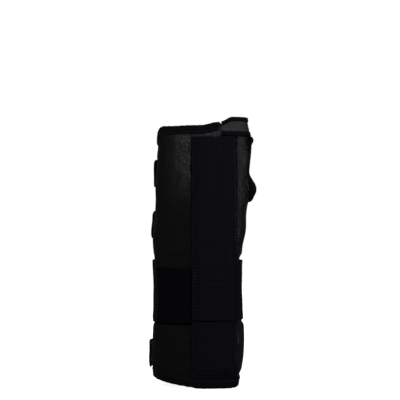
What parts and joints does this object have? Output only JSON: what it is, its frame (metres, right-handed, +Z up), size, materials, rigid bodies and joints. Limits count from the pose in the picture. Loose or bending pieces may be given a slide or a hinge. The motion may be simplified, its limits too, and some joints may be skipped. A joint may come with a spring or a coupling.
{
  "type": "wrist splint",
  "caption": "Right-hand wrist and forearm splint: bound laminate sleeve with thumb opening, bent palmar stay, dorsal stays, wide elastic strap and hook-and-loop closures.",
  "frame": {"origin": "middle of the overall box, on the flat part of the forearm hem", "axes": "+Z up the arm to the fingers, -Y the palmar side, +X the thumb side"},
  "size_m": [0.106, 0.0954, 0.2697],
  "materials": {
    "laminate": "grained synthetic leather over foam, satin",
    "ribbed_elastic": "ribbed elastic webbing, matte",
    "binding": "folded binding tape, matte",
    "knit": "stretch knit, matte",
    "webbing": "dark plush-faced webbing, matte",
    "loop": "loop pile, matte",
    "hook": "moulded hook tape",
    "stay_aluminium": "brushed",
    "stay_plastic": "satin natural plastic"
  },
  "bodies": {
    "sleeve": {"ulnar_panel": "laminate", "palmar_panel": "laminate", "radial_panel": "laminate", "thumb_opening_binding": "binding", "distal_binding": "binding", "distal_binding_radial": "binding", "proximal_binding": "binding", "opening_binding_ulnar": "binding", "opening_binding_radial": "binding", "dorsal_tongue": "knit", "palmar_stay_pocket": "ribbed_elastic", "dorsal_pocket_ulnar": "ribbed_elastic", "dorsal_pocket_radial": "ribbed_elastic", "forearm_strap": "ribbed_elastic", "forearm_loop_patch": "loop", "web_loop_patch": "loop", "closure_loop_patch_hand": "loop", "closure_loop_patch_wrist": "loop", "closure_loop_patch_forearm": "loop"},
    "palmar_stay": {"palmar_stay": "stay_aluminium"},
    "dorsal_stay_ulnar": {"dorsal_stay_ulnar": "stay_plastic"},
    "dorsal_stay_radial": {"dorsal_stay_radial": "stay_plastic"},
    "forearm_strap_end": {"forearm_strap_tab": "webbing", "forearm_hook_patch": "hook"},
    "web_strap": {"web_strap": "laminate", "web_binding_top": "binding", "web_binding_low": "binding", "web_hook_patch": "hook"},
    "hand_closure": {"closure_strap_hand": "webbing", "closure_hook_patch_hand": "hook"},
    "wrist_closure": {"closure_strap_wrist": "webbing", "closure_hook_patch_wrist": "hook"},
    "forearm_closure": {"closure_strap_forearm": "webbing", "closure_hook_patch_forearm": "hook"}
  },
  "joints": [
    {"name": "palmar_stay_withdraw", "type": "hinge", "parent": "sleeve", "child": "palmar_stay", "pos_m": [0.00911, 1.15917, 0.1], "axis": [-1, 0, 0], "range_deg": [0, 11]},
    {"name": "dorsal_stay_ulnar_withdraw", "type": "slide", "parent": "sleeve", "child": "dorsal_stay_ulnar", "axis": [0, -0.0901, 0.9959], "range_m": [0, 0.195]},
    {"name": "dorsal_stay_radial_withdraw", "type": "slide", "parent": "sleeve", "child": "dorsal_stay_radial", "axis": [0, -0.0887, 0.9961], "range_m": [0, 0.195]},
    {"name": "forearm_strap_peel", "type": "hinge", "parent": "sleeve", "child": "forearm_strap_end", "pos_m": [-0.04928, -0.00753, 0.093], "axis": [-0.0013, 0.0772, -0.997], "range_deg": [0, 120]},
    {"name": "hand_closure_peel", "type": "hinge", "parent": "sleeve", "child": "hand_closure", "pos_m": [0.01991, 0.02593, 0.214], "axis": [0.0114, 0.0718, -0.9974], "range_deg": [0, 120]},
    {"name": "wrist_closure_peel", "type": "hinge", "parent": "sleeve", "child": "wrist_closure", "pos_m": [0.02053, 0.02956, 0.162], "axis": [0.0162, 0.0611, -0.998], "range_deg": [0, 120]},
    {"name": "forearm_closure_peel", "type": "hinge", "parent": "sleeve", "child": "forearm_closure", "pos_m": [0.02108, 0.04036, 0.032], "axis": [0.0102, 0.0698, -0.9975], "range_deg": [0, 120]},
    {"name": "web_strap_peel", "type": "hinge", "parent": "sleeve", "child": "web_strap", "pos_m": [0.01955, -0.03408, 0.258], "axis": [-0.0015, -0.1327, -0.9912], "range_deg": [0, 70]}
  ]
}
